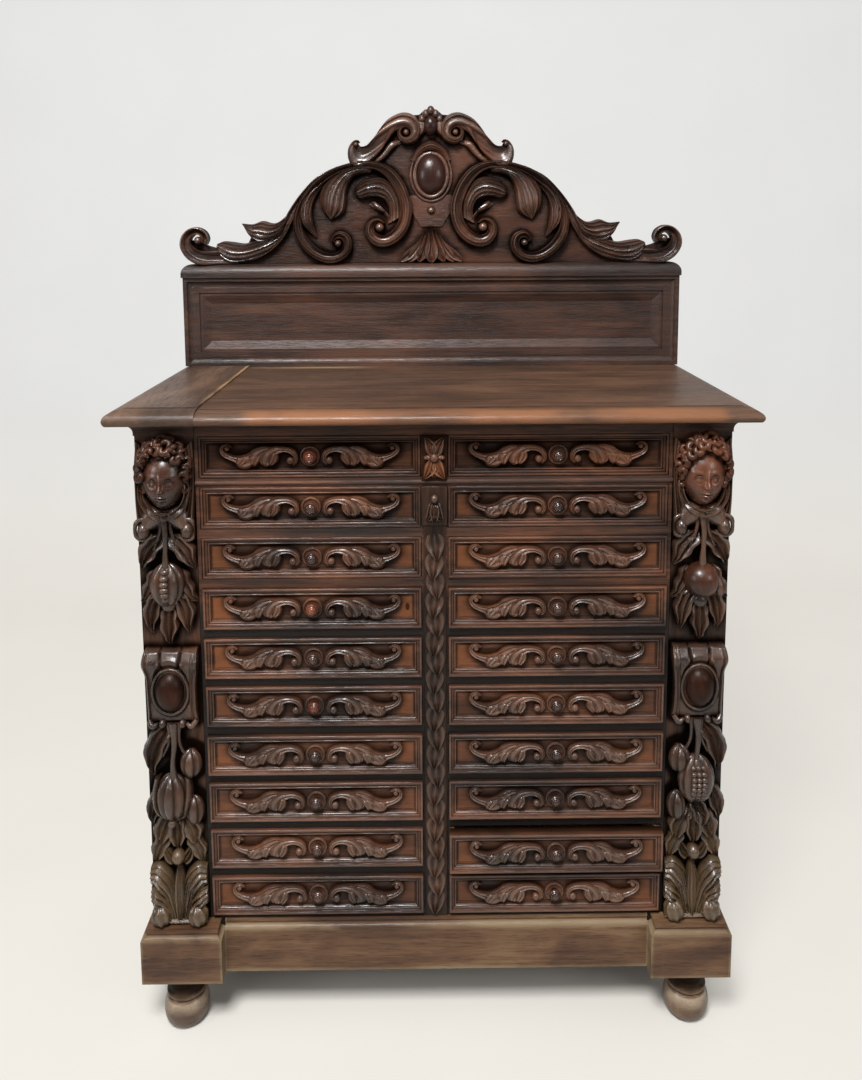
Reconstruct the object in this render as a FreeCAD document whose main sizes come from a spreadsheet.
import FreeCAD
import Part
import Sketcher
import math
import os

# Carved oak coin cabinet: two columns of ten shallow drawers between carved
# pilasters, on a breakfront plinth with bun feet, under a moulded top that
# carries a panelled back board and a carved crest.
# Millimetres. X runs to the right, the drawers open towards -Y, Z is up.
# The origin lies on the floor under the centre of the whole cabinet.

DRAWER_ROWS = 10

# Overlapping leaves of the garland down the centre stile.
GARLAND_LEAVES = 13

# Directions of the leaves round the fruit on the pilasters, in degrees from straight down.
LEAF_TURNS = (-34, 34)

# Directions of the shell's lobes under the cabochon, in degrees from straight down.
FAN_TURNS = (-34, -17, 0, 17, 34)

# Sides of the turned pieces and of the carved masses, which have flat facets.
KNOB_SIDES = 12
FOOT_SIDES = 16
CARVED_SIDES = 8
EYE_SIDES = 10

# Straight runs in each bulging stretch of the crest's outlines.
CREST_RUNS = 3

# How far each drawer stands out at rest, from the top row down, as shares of
# the drawer that is pulled out most.
LEFT_PULL_SHARES = (0, 0, 0, 0.24, 0.28, 0.24, 0.36, 0.28, 0.24, 0.32)
RIGHT_PULL_SHARES = (0, 0, 0.16, 0.32, 0.28, 0.28, 0.36, 0.28, 1, 0.36)

# The keyhole is in the fourth drawer of the left column.
KEYHOLE_ROW = 4

SIZES = (
    # Feet
    ("foot_height", 97),
    ("foot_radius", 41.5),
    ("foot_base_radius", 25),
    ("foot_base_rise", 18),
    ("foot_side", 18),
    ("foot_shoulder_radius", 38),
    ("foot_shoulder_rise", 16),
    ("foot_neck_radius", 31),
    ("foot_bead_radius", 34),
    ("foot_bead_height", 4),
    ("foot_neck_height", 19),
    ("foot_collar_radius", 37),
    ("foot_collar_height", 6),
    ("foot_slope", 2),
    ("foot_inset", 42),
    # Plinth
    ("plinth_height", 78),
    ("plinth_step", 10),
    ("plinth_board", 20),
    ("block_width", 140),
    ("block_step", 25),
    ("block_shift", 5),
    ("rear_block", 88),
    ("mould_height", 18),
    ("mould_setback", 9),
    ("mould_fillet", 2),
    ("mould_ledge", 6),
    ("mould_hollow", 2.8),
    # Case
    ("case_depth", 434),
    ("bottom_board", 12),
    ("side_board", 20),
    ("back_board", 10),
    ("column_wall", 12),
    ("face_board", 22),
    ("centre_stile", 44),
    ("outer_stile", 5.6),
    ("rail_height", 14.9),
    ("frieze_height", 26),
    ("waist_bead", 4.2),
    ("waist_proud", 3.8),
    ("runner_width", 14),
    ("runner_clearance", 0.3),
    # Drawers
    ("front_width", 370),
    ("front_height", 71),
    ("front_thick", 20),
    ("front_gap", 0.8),
    ("front_land", 4),
    ("front_step", 2.5),
    ("front_bevel", 5),
    ("front_bead", 3),
    ("front_cove", 5),
    ("field_depth", 8),
    ("pull_out", 25),
    ("drawer_side", 9),
    ("drawer_bottom", 6),
    ("drawer_back", 9),
    ("drawer_back_clearance", 24),
    ("drawer_drop", 6),
    ("ring_radius", 17),
    ("ring_height", 4),
    ("ring_bevel", 3),
    ("knob_radius", 10.5),
    ("knob_neck_radius", 6),
    ("knob_neck_height", 6),
    ("knob_edge_height", 3),
    ("knob_dome_height", 5),
    ("knob_top_radius", 5),
    ("keyhole_radius", 2.6),
    ("keyhole_end", 2.3),
    ("keyhole_length", 13),
    ("keyhole_offset", 24),
    # Centre ornament
    ("rosette_width", 43),
    ("rosette_thick", 6),
    ("rosette_radius", 19),
    ("rosette_relief", 5),
    ("garland_width", 38),
    ("garland_thick", 9),
    ("garland_leaf", 52),
    ("garland_strip", 3),
    ("capital_height", 68),
    ("capital_thick", 8),
    ("capital_bead", 7),
    # Pilasters
    ("pilaster_width", 98.5),
    ("head_half_width", 31),
    ("head_half_height", 52),
    ("head_proud", 36),
    ("hair_half_width", 46),
    ("hair_half_height", 35),
    ("hair_proud", 26),
    ("berry_half_width", 9),
    ("berry_half_height", 14),
    ("berry_proud", 14),
    ("fruit_half_width", 27),
    ("fruit_half_height", 36),
    ("fruit_proud", 28),
    ("small_fruit_half_width", 13),
    ("small_fruit_half_height", 17),
    ("small_fruit_proud", 16),
    ("leaf_length", 74),
    ("leaf_width", 28),
    ("leaf_thick", 11),
    ("console_width", 92),
    ("console_height", 130),
    ("console_top_proud", 24),
    ("console_proud", 30),
    ("console_swell", 10),
    ("boss_half_width", 26),
    ("boss_half_height", 36),
    ("boss_proud", 44),
    ("base_width", 96),
    ("base_height", 118),
    ("base_top_proud", 6),
    ("base_proud", 25),
    ("base_hollow", 12),
    ("base_leaf_length", 96),
    ("base_leaf_width", 36),
    # Top
    ("top_thick", 24),
    ("top_front_overhang", 44),
    ("top_side_overhang", 37.3),
    ("top_edge", 27),
    ("top_quirk", 1.5),
    ("top_ovolo_drop", 9),
    ("top_ovolo_bulge", 2.2),
    ("top_nose", 4),
    ("end_board_width", 148),
    ("end_board_lift", 3),
    ("bed_projection", 18),
    ("bed_height", 24),
    ("bed_fillet", 3.5),
    ("bed_hollow", 5),
    # Back board on the top
    ("upstand_inset", 13.5),
    ("upstand_height", 190),
    ("upstand_thick", 37),
    ("upstand_frame", 55),
    ("frame_outer_fillet", 8),
    ("frame_cove", 14),
    ("frame_cove_depth", 6),
    ("frame_cove_hollow", 2.5),
    ("frame_inner_fillet", 10),
    ("frame_bead", 6),
    ("panel_recess", 15),
    ("panel_board", 12),
    ("cap_height", 28),
    ("cap_overhang", 5),
    ("cap_round", 20),
    ("cap_bulge", 5.8),
    ("cap_base", 8),
    # Crest
    ("crest_height", 325),
    ("crest_ground", 16),
    ("crest_relief", 13),
    ("crest_setback", 4),
    ("eye_rise", 5),
    ("cabochon_half_width", 28),
    ("cabochon_half_height", 39),
    ("cabochon_proud", 17),
    ("cabochon_rim", 5),
    ("cabochon_rim_proud", 7),
    ("bud_half_width", 14),
    ("bud_half_height", 26),
    ("bud_proud", 17),
    ("fan_height", 68),
    ("fan_top", 70),
    ("fan_top_spread", 5),
    ("fan_lobe_width", 23),
    ("fan_relief", 9),
    ("crest_bead", 6),
    ("crest_bead_proud", 4),
)


class Size:
    """A length that knows both its value and the sheet expression it comes from."""

    def __init__(self, text, value):
        self.text = text
        self.value = value

    def joined(self, sign, other, value):
        text = other.text if isinstance(other, Size) else repr(other)
        return Size(f"({self.text} {sign} {text})", value)

    def __add__(self, other):
        return self.joined("+", other, self.value + number(other))

    def __sub__(self, other):
        return self.joined("-", other, self.value - number(other))

    def __mul__(self, other):
        return self.joined("*", other, self.value * number(other))

    def __truediv__(self, other):
        return self.joined("/", other, self.value / number(other))

    def __neg__(self):
        return Size(f"(0 - {self.text})", -self.value)


zero = Size("0", 0.0)


def number(size):
    return size.value if isinstance(size, Size) else float(size)


def text_of(size):
    return size.text if isinstance(size, Size) else repr(float(size))


def larger(first, second):
    return Size(f"max({first.text}; {second.text})", max(first.value, second.value))


def distance(along_u, along_v):
    """Length of a straight line from how far it goes each way."""
    return Size(f"sqrt({(along_u * along_u + along_v * along_v).text})",
                math.hypot(along_u.value, along_v.value))


document = FreeCAD.newDocument("coin_cabinet")
sheet = document.addObject("Spreadsheet::Sheet", "Sizes")


class Sizes:
    """The driving dimensions, each a Size bound to its named cell."""


s = Sizes()
for row, (alias, value) in enumerate(SIZES, start=1):
    sheet.set(f"A{row}", alias)
    sheet.set(f"B{row}", str(value))
    sheet.setAlias(f"B{row}", alias)
    setattr(s, alias, Size(f"Sizes.{alias}", float(value)))
document.recompute()

# Turns onto the planes that sketches lie on: front is XZ, side is YZ, flat is XY.
PLANE_TURNS = {
    "front": FreeCAD.Rotation(FreeCAD.Vector(1, 0, 0), 90),
    "side": FreeCAD.Rotation(FreeCAD.Vector(1, 1, 1), 120),
    "flat": FreeCAD.Rotation(),
}

node_objects = []


def bind(thing, path, size):
    thing.setExpression(path, text_of(size))


def place(thing, x=0, y=0, z=0):
    """Move an object to a place given in sizes."""
    for axis, size in (("x", x), ("y", y), ("z", z)):
        if isinstance(size, Size):
            bind(thing, f"Placement.Base.{axis}", size)
    return thing


def node(label, thing):
    """Keep an object as one named sub-part."""
    thing.Label = label
    node_objects.append(thing)
    return thing


def box(name, low, high):
    """A board between two corners given in sizes."""
    board = document.addObject("Part::Box", name)
    for prop, start, end in zip(("Length", "Width", "Height"), low, high):
        if isinstance(end, Size):
            bind(board, prop, end - start)
        else:
            bind(board, prop, zero + end - start)
    return place(board, *low)


def arc_centre(start, end, radius, bulge):
    """Centre of an arc that bulges to the left (1) or right (-1) of its way."""
    middle_u = (start[0] + end[0]) / 2
    middle_v = (start[1] + end[1]) / 2
    along_u = end[0] - start[0]
    along_v = end[1] - start[1]
    chord = math.hypot(along_u, along_v)
    reach = math.sqrt(max(radius * radius - chord * chord / 4, 0))
    return middle_u + bulge * along_v / chord * reach, middle_v - bulge * along_u / chord * reach


def arc_radius(start, end, depth):
    """Radius of the arc between two points that bulges to a depth."""
    along_u = zero + end[0] - start[0]
    along_v = zero + end[1] - start[1]
    return (along_u * along_u + along_v * along_v + depth * depth * 4) / (depth * 8)


def outline(name, plane, start, steps):
    """A closed sketch from its start through its steps.

    A step is the next point, or the next point with how deep an arc bulges on
    its way there and to which side: 1 is left and -1 is right.
    """
    sketch = document.addObject("Sketcher::SketchObject", name)
    sketch.Placement = FreeCAD.Placement(FreeCAD.Vector(), PLANE_TURNS[plane])
    points = [start] + [step[0] for step in steps]
    bound = []
    for index, step in enumerate(steps):
        here = (number(points[index][0]), number(points[index][1]))
        there = (number(step[0][0]), number(step[0][1]))
        if len(step) == 1:
            line = Part.LineSegment(FreeCAD.Vector(*here, 0), FreeCAD.Vector(*there, 0))
            sketch.addGeometry(line, False)
            ends = (1, 2)
        else:
            bulge = step[2]
            radius = arc_radius(points[index], step[0], step[1])
            centre = arc_centre(here, there, number(radius), bulge)
            start_angle = math.atan2(here[1] - centre[1], here[0] - centre[0])
            end_angle = math.atan2(there[1] - centre[1], there[0] - centre[0])
            if bulge > 0:
                start_angle, end_angle = end_angle, start_angle
            circle = Part.Circle(FreeCAD.Vector(*centre, 0), FreeCAD.Vector(0, 0, 1), number(radius))
            sketch.addGeometry(Part.ArcOfCircle(circle, start_angle, end_angle), False)
            ends = (2, 1) if bulge > 0 else (1, 2)
            rule = sketch.addConstraint(Sketcher.Constraint("Radius", index, number(radius)))
            bound.append((rule, radius))
        if index:
            sketch.addConstraint(Sketcher.Constraint("Coincident", index - 1, last_end, index, ends[0]))
        else:
            first_end = ends[0]
        last_end = ends[1]
        for kind, size in zip(("DistanceX", "DistanceY"), step[0]):
            value = number(size)
            rule = sketch.addConstraint(Sketcher.Constraint(kind, -1, 1, index, last_end, value))
            if isinstance(size, Size):
                bound.append((rule, size))
    sketch.addConstraint(Sketcher.Constraint("Coincident", len(steps) - 1, last_end, 0, first_end))
    for rule, size in bound:
        bind(sketch, f"Constraints[{rule}]", size)
    return sketch


def prism(name, plane, sketch, length, start):
    """A sketch pulled out to a length along its plane's own axis."""
    solid = document.addObject("Part::Extrusion", name)
    solid.Base = sketch
    solid.DirMode = "Custom"
    solid.Dir = FreeCAD.Vector(1, 0, 0) if plane == "side" else FreeCAD.Vector(0, 1, 0)
    if plane == "flat":
        solid.Dir = FreeCAD.Vector(0, 0, 1)
    solid.Solid = True
    bind(solid, "LengthFwd", length)
    axis = {"side": "x", "front": "y", "flat": "z"}[plane]
    return place(solid, **{axis: start})


def combine(kind, name, *members):
    """A boolean of two objects, or a group or union of several."""
    thing = document.addObject(kind, name)
    if kind in ("Part::Cut", "Part::Common"):
        thing.Base, thing.Tool = members
        if kind == "Part::Common":
            thing.Refine = False
    elif kind == "Part::Compound":
        thing.Links = list(members)
    else:
        thing.Shapes = list(members)
    return thing


def group(label, *members):
    return node(label, combine("Part::Compound", label, *members))


def polygon(name, plane, points):
    """A closed sketch with straight sides through its points."""
    return outline(name, plane, points[0], tuple((point,) for point in points[1:] + points[:1]))


def oval(half_width, half_height, sides):
    """Corners of an oval with straight sides."""
    points = []
    for corner in range(sides):
        angle = 2 * math.pi * (corner + 0.5) / sides
        points.append((half_width * math.cos(angle), half_height * math.sin(angle)))
    return points


def turned(name, sides, sections, facing_front=False):
    """A turned piece with flat sides, from its low end up through radii and heights.

    It stands upright, or stands out to the front.
    """
    rings = []
    for index, (radius, level) in enumerate(sections):
        ring = document.addObject("Part::RegularPolygon", f"{name}_section_{index}")
        ring.Polygon = sides
        bind(ring, "Circumradius", radius)
        rings.append(place(ring, z=level))
    loft = document.addObject("Part::Loft", name)
    loft.Sections = rings
    loft.Solid = True
    loft.Ruled = True
    loft.Linearize = True
    if facing_front:
        turn = FreeCAD.Rotation(FreeCAD.Vector(1, 0, 0), 90)
        loft.Placement = FreeCAD.Placement(FreeCAD.Vector(), turn)
    return loft


def carved(name, half_width, half_height, proud, x, back, z):
    """A rounded mass of carving, sawn to its outline from the front, side and top."""
    shoulder_share, crown_share = 0.45, 0.55
    shoulder = -(proud * shoulder_share)
    crown_z = half_height * crown_share
    crown_x = half_width * crown_share
    front_view = prism(f"{name}_front_view", "front",
                       polygon(f"{name}_front_outline", "front", oval(half_width, half_height, CARVED_SIDES)),
                       proud, -proud)
    side_outline = polygon(f"{name}_side_outline", "side", [
        (zero, -half_height), (shoulder, -half_height), (-proud, -crown_z),
        (-proud, crown_z), (shoulder, half_height), (zero, half_height),
    ])
    side_view = prism(f"{name}_side_view", "side", side_outline, half_width * 2, -half_width)
    top_outline = polygon(f"{name}_top_outline", "flat", [
        (-half_width, zero), (-half_width, shoulder), (-crown_x, -proud),
        (crown_x, -proud), (half_width, shoulder), (half_width, zero),
    ])
    top_view = prism(f"{name}_top_view", "flat", top_outline, half_height * 2, -half_height)
    sawn = combine("Part::Common", f"{name}_sawn", front_view, side_view)
    return place(combine("Part::Common", name, sawn, top_view), x, back, z)


# Heights, from the floor up
case_bottom = s.foot_height + s.plinth_height
ledge_height = case_bottom + s.mould_height
opening_height = s.front_height + s.front_gap * 2
row_pitch = opening_height + s.rail_height
first_opening = case_bottom + s.bottom_board + s.rail_height
last_opening_top = first_opening + row_pitch * DRAWER_ROWS - s.rail_height
case_top = last_opening_top + s.frieze_height
top_surface = case_top + s.top_thick
upstand_top = top_surface + s.upstand_height
cap_top = upstand_top + s.cap_height

# Widths, from the middle out
opening_width = s.front_width + s.front_gap * 2
opening_inner = s.centre_stile / 2
opening_outer = opening_inner + opening_width
pilaster_inner = opening_outer + s.outer_stile
pilaster_centre = pilaster_inner + s.pilaster_width / 2
case_side = pilaster_inner + s.pilaster_width
plinth_side = case_side + s.plinth_step
block_outer = pilaster_centre + s.block_width / 2 - s.block_shift
block_inner = block_outer - s.block_width
top_side = case_side + s.top_side_overhang
seam = -top_side + s.end_board_width
upstand_half = top_side - s.upstand_inset
crest_half = upstand_half + s.cap_overhang / 2

# Depths. The case face is the front plane of the rails and of the pilasters'
# ground, and the cabinet is centred between its most forward knob and its back.
knob_height = s.knob_neck_height + s.knob_edge_height + s.knob_dome_height
furthest_front = larger(s.top_front_overhang, s.pull_out + s.ring_height + knob_height - s.field_depth)
case_face = (furthest_front - s.case_depth) / 2
case_back = case_face + s.case_depth
inside_front = case_face + s.face_board
inside_back = case_back - s.back_board
plinth_face = case_face - s.plinth_step
block_face = plinth_face - s.block_step
block_back = block_face + s.block_width


def make_feet():
    """Four bun feet, each with a bead, a neck and a collar under its block."""
    collar_bottom = s.foot_height - s.foot_collar_height
    neck_bottom = collar_bottom - s.foot_neck_height
    bead_top = neck_bottom - s.foot_slope
    bead_bottom = bead_top - s.foot_bead_height
    foot = turned("foot", FOOT_SIDES, (
        (s.foot_base_radius, zero),
        (s.foot_radius, s.foot_base_rise),
        (s.foot_radius, s.foot_base_rise + s.foot_side),
        (s.foot_shoulder_radius, s.foot_base_rise + s.foot_side + s.foot_shoulder_rise),
        (s.foot_neck_radius, bead_bottom - s.foot_slope),
        (s.foot_bead_radius, bead_bottom),
        (s.foot_bead_radius, bead_top),
        (s.foot_neck_radius, neck_bottom),
        (s.foot_neck_radius, collar_bottom - s.foot_slope),
        (s.foot_collar_radius, collar_bottom),
        (s.foot_collar_radius, s.foot_height),
    ))
    feet = []
    for side_name, side in (("left", -1), ("right", 1)):
        for end_name, y in (("front", block_face + s.foot_inset), ("rear", case_back - s.foot_inset)):
            copy = combine("Part::Compound", f"foot_{side_name}_{end_name}", foot)
            feet.append(place(copy, pilaster_centre * side, y, 0))
    group("bun_feet", *feet)


def mould_steps(face, floor, turn):
    """The plinth moulding: a fillet, a cove and a ledge, rising inwards.

    face is the plane it starts from and turn is 1 where it recedes towards
    larger values, -1 where towards smaller ones.
    """
    cove_top = floor + s.mould_height - s.mould_ledge
    top = floor + s.mould_height
    ledge = s.mould_setback - s.mould_fillet
    return (
        ((face, floor + s.mould_fillet),),
        ((face + s.mould_fillet * turn, floor + s.mould_fillet),),
        ((face + s.mould_setback * turn, cove_top), s.mould_hollow, -turn),
        ((face + ledge * turn, cove_top),),
        ((face + ledge * turn, top),),
    )


def make_plinth():
    """Breakfront plinth: corner blocks, front and side boards and their mouldings."""
    floor = case_bottom
    base = s.foot_height
    top = floor + s.mould_height
    for side_name, side in (("left", -1), ("right", 1)):
        low_x = block_inner if side > 0 else -block_outer
        high_x = block_outer if side > 0 else -block_inner
        block = box(f"block_{side_name}", (low_x, block_face, base), (high_x, block_back, floor))
        front_profile = outline(
            f"block_mould_front_{side_name}", "side", (block_face, floor),
            mould_steps(block_face, floor, 1)
            + (((block_back, top),), ((block_back, floor),), ((block_face, floor),)),
        )
        side_profile = outline(
            f"block_mould_side_{side_name}", "front", (low_x, floor),
            mould_steps(low_x, floor, 1)
            + tuple(reversed_mould(high_x, floor))
            + (((low_x, floor),),),
        )
        front_run = prism(f"block_run_front_{side_name}", "side", front_profile, s.block_width, low_x)
        side_run = prism(f"block_run_side_{side_name}", "front", side_profile, s.block_width, block_face)
        both = combine("Part::Common", f"block_runs_{side_name}", front_run, side_run)
        case_low = -case_side if side < 0 else zero
        case_high = zero if side < 0 else case_side
        body = box(f"case_space_{side_name}", (case_low, case_face, floor), (case_high, case_back, case_top))
        mould = combine("Part::Cut", f"block_mould_{side_name}", both, body)
        group(f"plinth_block_{side_name}", block, mould)
    pieces = [box("plinth_front", (-block_inner, plinth_face, base),
                  (block_inner, plinth_face + s.plinth_board, floor))]
    front_profile = outline(
        "plinth_mould_profile", "side", (plinth_face, floor),
        mould_steps(plinth_face, floor, 1)
        + (((case_face, top),), ((case_face, floor),), ((plinth_face, floor),)),
    )
    pieces.append(prism("plinth_mould", "side", front_profile, block_inner * 2, -block_inner))
    for side_name, side in (("left", -1), ("right", 1)):
        outer = plinth_side * side
        inner = (plinth_side - s.plinth_board) * side
        low_x = outer if side < 0 else inner
        high_x = inner if side < 0 else outer
        pieces.append(box(f"plinth_side_{side_name}", (low_x, block_back, base), (high_x, case_back, floor)))
        side_profile = outline(
            f"plinth_side_mould_profile_{side_name}", "front", (outer, floor),
            mould_steps(outer, floor, -side)
            + (((case_side * side, top),), ((case_side * side, floor),), ((outer, floor),)),
        )
        pieces.append(prism(f"plinth_side_mould_{side_name}", "front", side_profile,
                            case_back - block_back, block_back))
    rear_inner = plinth_side - s.plinth_board
    rear_face = case_back - s.plinth_board
    pieces.append(box("plinth_rear", (-rear_inner, rear_face, base), (rear_inner, case_back, floor)))
    for side_name, low_x in (("left", -rear_inner), ("right", rear_inner - s.rear_block)):
        pieces.append(box(f"rear_block_{side_name}", (low_x, rear_face - s.rear_block, base),
                          (low_x + s.rear_block, rear_face, floor)))
    group("plinth_frame", *pieces)


def reversed_mould(face, floor):
    """The steps of the plinth moulding from its ledge down to a far face."""
    cove_top = floor + s.mould_height - s.mould_ledge
    top = floor + s.mould_height
    ledge = s.mould_setback - s.mould_fillet
    return (
        ((face - ledge, top),),
        ((face - ledge, cove_top),),
        ((face - s.mould_setback, cove_top),),
        ((face - s.mould_fillet, floor + s.mould_fillet), s.mould_hollow, -1),
        ((face, floor + s.mould_fillet),),
        ((face, floor),),
    )


def make_case():
    """Sides, back, bottom, inner walls, runners and the face frame."""
    side_inner = case_side - s.side_board
    for side_name, side in (("left", -1), ("right", 1)):
        low_x = side_inner if side > 0 else -case_side
        high_x = case_side if side > 0 else -side_inner
        node(f"side_{side_name}", box(f"side_{side_name}", (low_x, inside_front, case_bottom),
                                      (high_x, case_back, case_top)))
    node("back_panel", box("back_panel", (-side_inner, inside_back, case_bottom),
                           (side_inner, case_back, case_top)))
    floor_top = case_bottom + s.bottom_board
    node("bottom_board", box("bottom_board", (-side_inner, inside_front, case_bottom),
                             (side_inner, inside_back, floor_top)))
    wall_outer = opening_outer + s.column_wall
    walls = []
    for name, low_x, high_x in (
        ("wall_left", -wall_outer, -opening_outer),
        ("partition_left", -opening_inner, zero),
        ("partition_right", zero, opening_inner),
        ("wall_right", opening_outer, wall_outer),
    ):
        walls.append(box(name, (low_x, inside_front, floor_top), (high_x, inside_back, case_top)))
    group("column_walls", *walls)

    runners = []
    rails = []
    for row in range(DRAWER_ROWS):
        top = first_opening + row_pitch * row
        runner_top = top + s.front_gap - s.runner_clearance
        bottom = top - s.rail_height
        for side_name, side in (("left", -1), ("right", 1)):
            for place_name, wall, inwards in (("inner", opening_inner, 1), ("outer", opening_outer, -1)):
                edge = wall * side
                other = (wall + s.runner_width * inwards) * side
                low_x = edge if edge.value < other.value else other
                high_x = other if edge.value < other.value else edge
                runners.append(box(f"runner_{side_name}_{place_name}_{row}",
                                   (low_x, inside_front, bottom),
                                   (high_x, inside_back, runner_top)))
            low_x = -opening_outer if side < 0 else opening_inner
            rails.append(box(f"rail_{side_name}_{row}", (low_x, case_face, bottom if row else case_bottom),
                             (low_x + opening_width, inside_front, top)))
    group("drawer_runners", *runners)
    for side_name, low_x in (("left", -opening_outer), ("right", opening_inner)):
        rails.append(box(f"frieze_rail_{side_name}", (low_x, case_face, last_opening_top),
                         (low_x + opening_width, inside_front, case_top)))
    for name, low_x, high_x in (
        ("stile_left", -pilaster_inner, -opening_outer),
        ("stile_centre", -opening_inner, opening_inner),
        ("stile_right", opening_outer, pilaster_inner),
    ):
        rails.append(box(name, (low_x, case_face, case_bottom), (high_x, inside_front, case_top)))
    waist_height = first_opening + row_pitch * (DRAWER_ROWS - 1) - s.rail_height / 2
    waist_sketch = outline(
        "waist_profile", "side", (case_face, waist_height - s.waist_bead),
        (
            ((case_face, waist_height + s.waist_bead),),
            ((case_face, waist_height - s.waist_bead), s.waist_proud, -1),
        ),
    )
    rails.append(prism("waist_moulding", "side", waist_sketch, pilaster_inner * 2, -pilaster_inner))
    group("face_frame", *rails)


def sunk_steps(half, front, turn):
    """One side of the drawer front's sunk moulding, from its land to its field.

    half is the half size of the front on that side; the steps run inwards and
    back: a step, a bevel, a bead and a cove down to the field.
    """
    edge = half - s.front_land
    bevel_in = edge - s.front_bevel
    bead_in = bevel_in - s.front_bead
    field_in = bead_in - s.front_cove
    step_back = front + s.front_step
    bead_back = step_back + s.front_step
    field_back = front + s.field_depth
    steps = (
        (edge * turn, step_back),
        (bevel_in * turn, bead_back),
        (bead_in * turn, bead_back),
        (field_in * turn, field_back),
    )
    return (edge * turn, front), steps


def sunk_profile(name, plane, half, flip):
    """The full section of the hollow inside a drawer front's moulding."""
    front = zero
    open_edge = -s.front_bevel
    corner_low, low = sunk_steps(half, front, -1)
    corner_high, high = sunk_steps(half, front, 1)
    points = [(corner_low[0], open_edge), corner_low] + list(low)
    points += list(reversed(high)) + [corner_high, (corner_high[0], open_edge)]
    if flip:
        points = [(back, across) for across, back in points]
    steps = tuple((point,) for point in points[1:] + points[:1])
    return outline(name, plane, points[0], steps)


def make_front_master(name, with_keyhole):
    """A drawer front with a mitred sunk moulding, its ring and its turned knob."""
    half_width = s.front_width / 2
    half_height = s.front_height / 2
    board = box(f"{name}_board", (-half_width, zero, -half_height),
                (half_width, s.front_thick, half_height))
    along = prism(f"{name}_long_run", "side",
                  sunk_profile(f"{name}_section_high", "side", half_height, True), s.front_width, -half_width)
    flat_sketch = sunk_profile(f"{name}_section_wide", "flat", half_width, False)
    across = prism(f"{name}_short_run", "flat", flat_sketch, s.front_height, -half_height)
    hollow = combine("Part::Common", f"{name}_hollow", along, across)
    front = combine("Part::Cut", f"{name}_front", board, hollow)
    if with_keyhole:
        slot_half = s.keyhole_length / 2 - s.keyhole_radius
        slot_x = half_width - s.keyhole_offset
        slot = outline(
            f"{name}_keyhole_outline", "front", (slot_x - s.keyhole_radius, -slot_half),
            (
                ((slot_x + s.keyhole_radius, -slot_half), s.keyhole_end, -1),
                ((slot_x + s.keyhole_radius, slot_half),),
                ((slot_x - s.keyhole_radius, slot_half), s.keyhole_end, -1),
                ((slot_x - s.keyhole_radius, -slot_half),),
            ),
        )
        hole = prism(f"{name}_keyhole", "front", slot, s.front_thick * 2, zero)
        front = combine("Part::Cut", f"{name}_front_with_keyhole", front, hole)
    ring = turned(f"{name}_ring", KNOB_SIDES, (
        (s.ring_radius, zero),
        (s.ring_radius - s.ring_bevel, s.ring_height),
    ), facing_front=True)
    knob = turned(f"{name}_knob", KNOB_SIDES, (
        (s.knob_neck_radius, zero),
        (s.knob_radius, s.knob_neck_height),
        (s.knob_radius, s.knob_neck_height + s.knob_edge_height),
        (s.knob_top_radius, knob_height),
    ), facing_front=True)
    return front, place(ring, y=s.field_depth), place(knob, y=s.field_depth - s.ring_height)


def make_box_master():
    """A drawer's tray behind its front: two sides, a back and a bottom."""
    half_width = s.front_width / 2
    low = -(s.front_height / 2)
    high = s.front_height / 2 - s.drawer_drop
    front = s.front_thick
    back = inside_back - case_face - s.drawer_back_clearance
    inner = half_width - s.drawer_side
    return (
        box("tray_side_left", (-half_width, front, low), (-inner, back, high)),
        box("tray_side_right", (inner, front, low), (half_width, back, high)),
        box("tray_back", (-inner, back - s.drawer_back, low), (inner, back, high)),
        box("tray_bottom", (-inner, front, low), (inner, back - s.drawer_back, low + s.drawer_bottom)),
    )


def make_drawers():
    """Twenty drawers, each a front and a tray, placed as far out as they rest."""
    plain = make_front_master("plain", False)
    locked = make_front_master("locked", True)
    tray = make_box_master()
    centre_x = (opening_inner + opening_outer) / 2
    for side_name, side, shares in (("left", -1, LEFT_PULL_SHARES), ("right", 1, RIGHT_PULL_SHARES)):
        for row in range(DRAWER_ROWS):
            name = f"drawer_{side_name}_{row + 1:02d}"
            centre_z = last_opening_top - opening_height / 2 - row_pitch * row
            y = case_face - s.pull_out * shares[row]
            has_lock = side_name == "left" and row + 1 == KEYHOLE_ROW
            front = group(f"{name}_front", *(locked if has_lock else plain))
            place(front, centre_x * side, y, centre_z)
            box_group = group(f"{name}_box", *tray)
            place(box_group, centre_x * side, y, centre_z)


def leaf(name, length, width, thick, x, y, z, turn):
    """A pointed leaf: two arcs that meet at a tip, of one thickness, hanging down."""
    half = width / 2
    sketch = outline(name + "_outline", "front", (0, 0), (
        ((0, -length), half, 1),
        ((0, 0), half, 1),
    ))
    blade = document.addObject("Part::Extrusion", name)
    blade.Base = sketch
    blade.DirMode = "Custom"
    blade.Dir = FreeCAD.Vector(0, -1, 0)
    blade.Solid = True
    bind(blade, "LengthFwd", thick)
    blade.Placement = FreeCAD.Placement(FreeCAD.Vector(), FreeCAD.Rotation(FreeCAD.Vector(0, 1, 0), turn))
    return place(blade, x, y, z)


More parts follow.
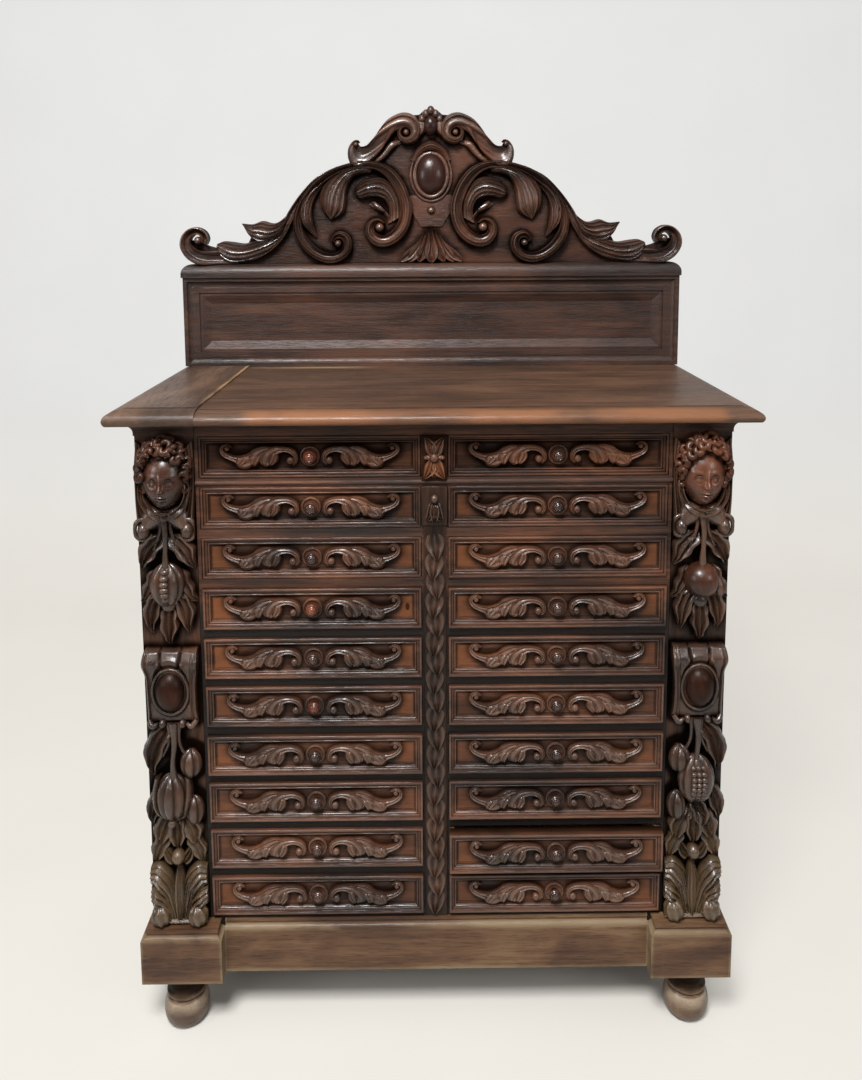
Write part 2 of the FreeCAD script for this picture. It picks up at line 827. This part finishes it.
def make_pilaster(side_name, side):
    """A carved pilaster in one piece of wood: ground, head, fruit, console, leaves."""
    name = f"pilaster_{side_name}"
    centre = pilaster_centre * side
    low_x = pilaster_inner if side > 0 else -case_side
    high_x = case_side if side > 0 else -pilaster_inner
    run = case_top - s.bed_height - ledge_height
    pieces = [box(f"{name}_ground", (low_x, case_face, case_bottom), (high_x, inside_front, case_top))]

    def height_of(share):
        return ledge_height + run * share

    def mass(kind, part_name, x, z):
        """A carved mass on the ground, of the half width, half height and depth of its kind."""
        pieces.append(carved(f"{name}_{part_name}", getattr(s, f"{kind}_half_width"),
                             getattr(s, f"{kind}_half_height"), getattr(s, f"{kind}_proud"),
                             x, case_face, z))

    def hang_leaf(part_name, x, z, turn):
        pieces.append(leaf(f"{name}_{part_name}", s.leaf_length, s.leaf_width, s.leaf_thick,
                           x, case_face, z, turn))

    head_share, brow_share = 0.917, 0.959
    berry_share, berry_reach_share = 0.829, 0.78
    upper_fruit_share, upper_leaf_share = 0.714, 0.793
    console_share, boss_share = 0.579, 0.498
    lower_leaf_share, lower_fruit_share, tail_share = 0.41, 0.29, 0.225
    small_fruit_shares = (0.339, 0.243)
    mass("head", "head", centre, height_of(head_share))
    mass("hair", "hair", centre, height_of(brow_share))
    for berry_name, way in (("right", 1), ("left", -1)):
        mass("berry", f"berry_{berry_name}", centre + s.hair_half_width * berry_reach_share * way,
             height_of(berry_share))
    mass("fruit", "upper_fruit", centre, height_of(upper_fruit_share))
    mass("fruit", "lower_fruit", centre, height_of(lower_fruit_share))
    for index, share in enumerate(small_fruit_shares):
        mass("small_fruit", f"small_fruit_{index}", centre - s.fruit_half_width * side, height_of(share))
    for index, turn in enumerate(LEAF_TURNS):
        hang_leaf(f"upper_leaf_{index}", centre, height_of(upper_leaf_share), turn)
        hang_leaf(f"lower_leaf_{index}", centre, height_of(lower_leaf_share), turn)
    hang_leaf("upper_tail", centre, height_of(upper_fruit_share) - s.fruit_half_height / 2, 0)
    hang_leaf("lower_tail", centre, height_of(tail_share), 0)

    console_top = height_of(console_share)
    console_bottom = console_top - s.console_height
    console_sketch = outline(f"{name}_console_profile", "side", (case_face, console_top), (
        ((case_face - s.console_top_proud, console_top),),
        ((case_face - s.console_proud, console_bottom), s.console_swell, -1),
        ((case_face, console_bottom),),
        ((case_face, console_top),),
    ))
    pieces.append(prism(f"{name}_console", "side", console_sketch, s.console_width,
                        centre - s.console_width / 2))
    mass("boss", "boss", centre, height_of(boss_share))

    base_top = ledge_height + s.base_height
    base_sketch = outline(f"{name}_base_profile", "side", (case_face, ledge_height), (
        ((case_face, base_top),),
        ((case_face - s.base_top_proud, base_top),),
        ((case_face - s.base_proud, ledge_height), s.base_hollow, 1),
        ((case_face, ledge_height),),
    ))
    pieces.append(prism(f"{name}_base", "side", base_sketch, s.base_width, centre - s.base_width / 2))
    leaf_reach = (s.base_width - s.base_leaf_width) / 2
    for leaf_name, offset in (("left", -leaf_reach), ("middle", zero), ("right", leaf_reach)):
        pieces.append(leaf(f"{name}_base_leaf_{leaf_name}", s.base_leaf_length, s.base_leaf_width,
                           s.base_proud, centre + offset, case_face,
                           ledge_height + s.base_leaf_length, 0))
    node(name, combine("Part::MultiFuse", name, *pieces))


def kite(name, half_width, tip, shoulder, foot, lift, back):
    """A pointed leaf with flat sides: a tip, two shoulders and a foot, of one thickness."""
    sketch = outline(name + "_outline", "front", (0, tip), (
        ((half_width, shoulder),),
        ((half_width / 2, foot),),
        ((-(half_width / 2), foot),),
        ((-half_width, shoulder),),
        ((0, tip),),
    ))
    return prism(name, "front", sketch, lift, back - lift)


def make_centre():
    """The rosette block, the capital and the leaf garland on the centre stile."""
    waist_top = first_opening + row_pitch * (DRAWER_ROWS - 1) - s.rail_height / 2 + s.waist_bead
    half = s.rosette_width / 2
    block_front = case_face - s.rosette_thick
    pieces = [box("rosette_board", (-half, block_front, waist_top), (half, case_face, last_opening_top))]
    middle = (waist_top + last_opening_top) / 2
    petal_share = 0.45
    for index in range(4):
        petal = kite(f"rosette_petal_{index}", s.rosette_radius * petal_share, s.rosette_radius,
                     s.rosette_radius * petal_share, zero, s.rosette_relief, zero)
        turn = FreeCAD.Rotation(FreeCAD.Vector(0, 1, 0), 90 * index)
        petal.Placement = FreeCAD.Placement(FreeCAD.Vector(), turn)
        pieces.append(place(petal, 0, block_front - s.rosette_relief, middle))
    node("rosette_block", combine("Part::MultiFuse", "rosette_block", *pieces))

    capital_top = waist_top - s.waist_bead * 2
    capital_bottom = capital_top - s.capital_height
    capital_front = case_face - s.capital_thick
    capital = box("capital", (-opening_inner, capital_front, capital_bottom),
                  (opening_inner, case_face, capital_top))
    bead_drop_share = 0.3
    bead = carved("capital_drop", s.capital_bead, s.capital_bead, s.capital_bead,
                  zero, capital_front, capital_top - s.capital_height * bead_drop_share)
    crown = combine("Part::MultiFuse", "capital_with_drop", capital, bead)
    half_width = s.garland_width / 2
    strip_front = case_face - s.garland_strip
    leaves = [box("garland_strip", (-half_width, strip_front, ledge_height),
                  (half_width, case_face, capital_bottom))]
    spacing = (capital_bottom - ledge_height - s.garland_leaf) / (GARLAND_LEAVES - 1)
    shoulder_share = 0.5
    for index in range(GARLAND_LEAVES):
        foot = ledge_height + spacing * index
        lift = s.garland_thick - s.garland_strip * index / GARLAND_LEAVES
        leaves.append(kite(f"garland_leaf_{index}", half_width, foot + s.garland_leaf,
                           foot + s.garland_leaf * shoulder_share, foot, lift, case_face))
    garland = combine("Part::MultiFuse", "garland_leaves", *leaves)
    group("garland_stile", crown, garland)


def edge_steps(edge, surface, turn):
    """The moulded edge of the top from its upper arris round the nose to its underside."""
    nose = edge + s.top_nose * turn
    ovolo_end = surface - s.top_ovolo_drop
    underside = case_top
    return (
        ((edge + s.top_edge * turn, surface - s.top_quirk),),
        ((nose, ovolo_end), s.top_ovolo_bulge, -turn),
        ((nose, underside), s.top_nose, -turn),
    )


def far_edge_steps(edge, surface, turn):
    """The same edge passed the other way, from the underside up to the arris."""
    nose = edge + s.top_nose * turn
    ovolo_end = surface - s.top_ovolo_drop
    return (
        ((nose, case_top),),
        ((nose, ovolo_end), s.top_nose, turn),
        ((edge + s.top_edge * turn, surface - s.top_quirk), s.top_ovolo_bulge, turn),
        ((edge + s.top_edge * turn, surface),),
    )


def make_top_piece(label, surface, low_x, high_x, left_edge, right_edge):
    """A board of the top with its mitred moulding on the edges that are free."""
    front = case_face - s.top_front_overhang
    front_profile = outline(f"{label}_front_profile", "side", (case_back, surface),
                            (((front + s.top_edge, surface),),)
                            + edge_steps(front, surface, 1)
                            + (((case_back, case_top),), ((case_back, surface),)))
    front_run = prism(f"{label}_front_run", "side", front_profile, high_x - low_x, low_x)
    if left_edge:
        steps = (((high_x, surface),), ((high_x, case_top),)) + far_edge_steps(low_x, surface, 1)
        side_profile = outline(f"{label}_side_profile", "front", (low_x + s.top_edge, surface), steps)
    elif right_edge:
        steps = (((high_x - s.top_edge, surface),),) + edge_steps(high_x, surface, -1)
        steps += (((low_x, case_top),), ((low_x, surface),))
        side_profile = outline(f"{label}_side_profile", "front", (low_x, surface), steps)
    side_run = prism(f"{label}_side_run", "front", side_profile, case_back - front, front)
    node(label, combine("Part::Common", label, front_run, side_run))


def make_top():
    """The moulded top in two boards, with coved bed mouldings under its corners."""
    make_top_piece("top_left_end", top_surface + s.end_board_lift, -top_side, seam, True, False)
    make_top_piece("top_main", top_surface, seam, top_side, False, True)
    moulds = []
    bed_bottom = case_top - s.bed_height
    fillet_bottom = bed_bottom + s.bed_fillet
    cove_end = case_top - s.bed_fillet
    for side_name, side in (("left", -1), ("right", 1)):
        front = case_face - s.bed_projection
        front_profile = outline(f"bed_front_profile_{side_name}", "side", (inside_front, bed_bottom), (
            ((case_face - s.bed_fillet / 2, bed_bottom),),
            ((case_face - s.bed_fillet / 2, fillet_bottom),),
            ((front, cove_end), s.bed_hollow, -1),
            ((front, case_top),),
            ((inside_front, case_top),),
            ((inside_front, bed_bottom),),
        ))
        inner = pilaster_inner * side
        edge = (case_side + s.bed_projection) * side
        lip = (case_side + s.bed_fillet / 2) * side
        side_profile = outline(f"bed_side_profile_{side_name}", "front", (inner, bed_bottom), (
            ((lip, bed_bottom),),
            ((lip, fillet_bottom),),
            ((edge, cove_end), s.bed_hollow, side),
            ((edge, case_top),),
            ((inner, case_top),),
            ((inner, bed_bottom),),
        ))
        low_x = edge if side < 0 else inner
        width = case_side + s.bed_projection - pilaster_inner
        front_run = prism(f"bed_front_run_{side_name}", "side", front_profile, width, low_x)
        side_run = prism(f"bed_side_run_{side_name}", "front", side_profile, inside_front - front, front)
        corner = combine("Part::Common", f"bed_corner_{side_name}", front_run, side_run)
        case_low = -case_side if side < 0 else zero
        case_high = zero if side < 0 else case_side
        space = box(f"bed_space_{side_name}", (case_low, case_face, case_bottom),
                    (case_high, case_back, case_top))
        moulds.append(combine("Part::Cut", f"bed_mould_front_{side_name}", corner, space))
        return_profile = outline(f"bed_return_profile_{side_name}", "front", (case_side * side, bed_bottom), (
            ((lip, bed_bottom),),
            ((lip, fillet_bottom),),
            ((edge, cove_end), s.bed_hollow, side),
            ((edge, case_top),),
            ((case_side * side, case_top),),
            ((case_side * side, bed_bottom),),
        ))
        moulds.append(prism(f"bed_return_{side_name}", "front", return_profile,
                            case_back - inside_front, inside_front))
    group("bed_mouldings", *moulds)


def frame_hollow_profile(name, plane, half_low, half_high, flip):
    """Section of the hollow inside the upstand's frame: fillet, cove, fillets, bead."""
    second_share = 0.6
    cove_inner = s.frame_outer_fillet + s.frame_cove
    fillet_inner = cove_inner + s.frame_inner_fillet
    bead_inner = fillet_inner + s.frame_bead
    second = s.panel_recess * second_share
    open_edge = -s.frame_bead
    inwards = (
        (s.frame_outer_fillet, zero),
        (cove_inner, s.frame_cove_depth),
        (fillet_inner, s.frame_cove_depth),
        (fillet_inner, second),
        (bead_inner, second),
        (s.upstand_frame, s.panel_recess),
    )
    points = [(half_low + s.frame_outer_fillet, open_edge)]
    points += [(half_low + offset, back) for offset, back in inwards]
    points += [(half_high - offset, back) for offset, back in reversed(inwards)]
    points += [(half_high - s.frame_outer_fillet, open_edge)]
    cove_ends = (points[2], points[-2])
    steps = []
    for point in points[1:] + points[:1]:
        shown = (point[1], point[0]) if flip else point
        if point in cove_ends:
            steps.append((shown, s.frame_cove_hollow, -1 if flip else 1))
        else:
            steps.append((shown,))
    start = (points[0][1], points[0][0]) if flip else points[0]
    return outline(name, plane, start, tuple(steps))


def make_upstand():
    """The panelled board at the back of the top, with a quarter-round cap.

    Its foot is scribed over the end board of the top, which stands higher.
    """
    front = case_back - s.upstand_thick
    half = upstand_half
    block = box("upstand_block", (-half, front, top_surface), (half, case_back, upstand_top))
    scribe = box("upstand_scribe", (-half, front, top_surface),
                 (seam, case_back, top_surface + s.end_board_lift))
    high_section = frame_hollow_profile("upstand_section_high", "side", zero, s.upstand_height, True)
    wide_section = frame_hollow_profile("upstand_section_wide", "flat", -half, half, False)
    long_run = prism("upstand_long_run", "side", high_section, half * 2, -half)
    short_run = prism("upstand_short_run", "flat", wide_section, s.upstand_height, zero)
    hollow = combine("Part::Common", "upstand_hollow", long_run, short_run)
    place(hollow, 0, front, top_surface)
    panel_low = (-(half - s.upstand_frame), front + s.panel_recess, top_surface + s.upstand_frame)
    panel_high = (half - s.upstand_frame, front + s.panel_recess + s.panel_board,
                  upstand_top - s.upstand_frame)
    through_low = (panel_low[0], front + s.panel_recess, panel_low[2])
    through_high = (panel_high[0], case_back, panel_high[2])
    opening = box("upstand_opening", through_low, through_high)
    seated = combine("Part::Cut", "upstand_seated", block, scribe)
    framed = combine("Part::Cut", "upstand_moulded", seated, hollow)
    frame = combine("Part::Cut", "upstand_frame_piece", framed, opening)
    panel = box("upstand_panel", panel_low, panel_high)
    cap_half = crest_half
    cap_front = front - s.cap_overhang
    cap_side = outline("cap_profile", "side", (case_back, upstand_top), (
        ((cap_front, upstand_top),),
        ((cap_front, upstand_top + s.cap_base),),
        ((cap_front + s.cap_round, cap_top), s.cap_bulge, 1),
        ((case_back, cap_top),),
        ((case_back, upstand_top),),
    ))
    cap_front_run = prism("cap_long_run", "side", cap_side, cap_half * 2, -cap_half)
    cap_ends = outline("cap_end_profile", "front", (-cap_half, upstand_top), (
        ((-cap_half, upstand_top + s.cap_base),),
        ((-cap_half + s.cap_round, cap_top), s.cap_bulge, 1),
        ((cap_half - s.cap_round, cap_top),),
        ((cap_half, upstand_top + s.cap_base), s.cap_bulge, 1),
        ((cap_half, upstand_top),),
        ((-cap_half, upstand_top),),
    ))
    cap_side_run = prism("cap_short_run", "front", cap_ends, case_back - cap_front, cap_front)
    cap = combine("Part::Common", "upstand_cap", cap_front_run, cap_side_run)
    group("back_upstand", frame, panel, cap)


# Outlines on the crest's right half. Each point is its share of the half width,
# its share of the height, and how deep the stretch that leads to it bulges, as a
# share of the height: to the left of its way above zero, to the right below.
CREST_GROUND_SHARES = (
    (0.000, 1.000, 0),
    (0.042, 0.957, 0.015),
    (0.042, 0.935, 0),
    (0.084, 0.954, 0.006),
    (0.206, 0.837, 0.025),
    (0.272, 0.723, -0.018),
    (0.278, 0.766, 0),
    (0.322, 0.711, 0.031),
    (0.304, 0.615, 0.006),
    (0.446, 0.520, 0.022),
    (0.584, 0.280, 0.009),
    (0.636, 0.239, -0.012),
    (0.675, 0.249, -0.006),
    (0.678, 0.231, 0),
    (0.758, 0.235, -0.008),
    (0.716, 0.142, 0.010),
    (0.800, 0.105, -0.011),
    (0.865, 0.099, 0.012),
    (0.889, 0.117, 0),
    (0.904, 0.212, 0.012),
    (1.000, 0.142, 0.045),
    (0.927, 0.000, 0.030),
    (0.000, 0.000, 0),
)
CREST_RELIEF_SHARES = {
    "top_scroll": (
        (0.057, 0.806, 0.045),
        (0.084, 0.948, 0.030),
        (0.206, 0.831, 0.025),
        (0.271, 0.717, -0.018),
        (0.278, 0.763, 0),
        (0.320, 0.708, 0.030),
        (0.286, 0.628, 0.012),
        (0.181, 0.732, 0.024),
        (0.168, 0.806, 0),
        (0.115, 0.895, -0.025),
        (0.088, 0.837, -0.012),
        (0.118, 0.800, -0.012),
    ),
    "great_scroll": (
        (0.202, 0.646, 0),
        (0.084, 0.394, -0.039),
        (0.196, 0.117, -0.069),
        (0.254, 0.208, -0.028),
        (0.206, 0.286, -0.031),
        (0.160, 0.240, -0.008),
        (0.126, 0.363, 0.015),
        (0.233, 0.603, 0.025),
    ),
    "hooked_leaf": (
        (0.122, 0.329, -0.030),
        (0.174, 0.514, 0.030),
        (0.269, 0.431, 0.028),
        (0.202, 0.394, 0.015),
    ),
    "hanging_leaf": (
        (0.202, 0.590, 0),
        (0.341, 0.572, 0.025),
        (0.397, 0.394, 0.030),
        (0.327, 0.246, 0.025),
        (0.321, 0.437, 0.020),
        (0.271, 0.560, -0.020),
    ),
    "lower_scroll": (
        (0.305, 0.609, -0.010),
        (0.458, 0.483, 0.020),
        (0.532, 0.283, 0.015),
        (0.424, 0.015, 0.042),
        (0.334, 0.065, 0.022),
        (0.372, 0.169, 0.030),
        (0.418, 0.120, 0.012),
        (0.450, 0.123, -0.010),
        (0.471, 0.372, 0.008),
        (0.403, 0.514, -0.014),
    ),
    "tip_leaf": (
        (0.529, 0.391, 0),
        (0.584, 0.277, 0.009),
        (0.636, 0.236, -0.012),
        (0.756, 0.233, -0.008),
        (0.714, 0.157, 0.010),
        (0.632, 0.170, 0.010),
        (0.563, 0.228, 0),
    ),
    "end_scroll": (
        (0.576, 0.203, 0.010),
        (0.650, 0.135, 0),
        (0.712, 0.135, -0.006),
        (0.800, 0.103, -0.008),
        (0.865, 0.097, 0.012),
        (0.889, 0.115, 0),
        (0.906, 0.210, 0.012),
        (0.998, 0.142, 0.044),
        (0.927, 0.002, 0.030),
        (0.758, 0.012, 0),
        (0.668, 0.077, 0.006),
    ),
}

# Eyes of the scrolls: place as shares of the crest, radius as a share of its height.
CREST_EYE_SHARES = (
    (0.206, 0.232, 0.042),
    (0.372, 0.105, 0.034),
    (0.103, 0.835, 0.032),
    (0.300, 0.740, 0.020),
    (0.932, 0.140, 0.038),
)


def crest_board(name, shares, thickness, front):
    """A flat piece of the crest from its table of points and bulges.

    Each bulging stretch is a parabola, cut into short straight runs.
    """
    corners = [(crest_half * across, s.crest_height * up) for across, up, bulge in shares]
    points = []
    for index, (across, up, bulge) in enumerate(shares):
        start, end = corners[index - 1], corners[index]
        if bulge:
            along_x = end[0] - start[0]
            along_z = end[1] - start[1]
            lean = s.crest_height * bulge / distance(along_x, along_z)
            for run in range(1, CREST_RUNS):
                way = run / CREST_RUNS
                rise = lean * (4 * way * (1 - way))
                points.append((start[0] + along_x * way - along_z * rise,
                               start[1] + along_z * way + along_x * rise))
        points.append(end)
    board = prism(f"crest_{name}", "front", polygon(f"crest_{name}_outline", "front", points),
                  thickness, front)
    return place(board, z=cap_top)


def make_crest():
    """The carved crest: a shaped ground board with scrolls, leaves, a shell and a cabochon."""
    back = case_back - s.crest_setback
    front = back - s.crest_ground
    right = [crest_board("ground", CREST_GROUND_SHARES, s.crest_ground, front)]
    for name, shares in CREST_RELIEF_SHARES.items():
        right.append(crest_board(name, shares, s.crest_relief, front - s.crest_relief))
    for index, (across, up, radius_share) in enumerate(CREST_EYE_SHARES):
        radius = s.crest_height * radius_share
        eye = turned(f"crest_eye_{index}", EYE_SIDES, (
            (radius, zero),
            (radius, s.crest_relief),
            (radius - s.eye_rise, s.crest_relief + s.eye_rise),
        ), facing_front=True)
        right.append(place(eye, crest_half * across, front, cap_top + s.crest_height * up))
    right_half = combine("Part::MultiFuse", "crest_right_half", *right)
    left_half = document.addObject("Part::Mirroring", "crest_left_half")
    left_half.Source = right_half
    left_half.Normal = FreeCAD.Vector(1, 0, 0)

    cabochon_share, bead_share, bud_share = 0.563, 0.338, 0.892
    cabochon_z = cap_top + s.crest_height * cabochon_share
    middle = [
        carved("cabochon_rim", s.cabochon_half_width + s.cabochon_rim,
               s.cabochon_half_height + s.cabochon_rim, s.cabochon_rim_proud, zero, front, cabochon_z),
        carved("cabochon", s.cabochon_half_width, s.cabochon_half_height, s.cabochon_proud,
               zero, front, cabochon_z),
        carved("crest_bead", s.crest_bead, s.crest_bead, s.crest_bead_proud,
               zero, front, cap_top + s.crest_height * bead_share),
        carved("crest_bud", s.bud_half_width, s.bud_half_height, s.bud_proud,
               zero, front, cap_top + s.crest_height * bud_share),
    ]
    middle_lobe = (len(FAN_TURNS) - 1) / 2
    for index, turn in enumerate(FAN_TURNS):
        length = s.fan_height / math.cos(math.radians(turn))
        middle.append(leaf(f"fan_lobe_{index}", length, s.fan_lobe_width, s.fan_relief,
                           -(s.fan_top_spread * (index - middle_lobe)), front, cap_top + s.fan_top, turn))
    node("crest", combine("Part::MultiFuse", "crest", right_half, left_half, *middle))


make_feet()
make_plinth()
make_case()
make_drawers()
for pilaster_side, pilaster_sign in (("left", -1), ("right", 1)):
    make_pilaster(pilaster_side, pilaster_sign)
make_centre()
make_top()
make_upstand()
make_crest()
document.recompute()

failed = [thing.Name for thing in document.Objects if "Invalid" in thing.State or "Error" in thing.State]
if failed:
    raise RuntimeError("failed objects: " + ", ".join(failed))
os.makedirs("parts", exist_ok=True)
for thing in node_objects:
    shape = thing.Shape
    if shape.isNull() or not shape.isValid():
        raise RuntimeError(f"{thing.Label} has no valid shape")
    shape.exportStep(f"parts/{thing.Label}.step")
print(len(node_objects), "sub-parts written")
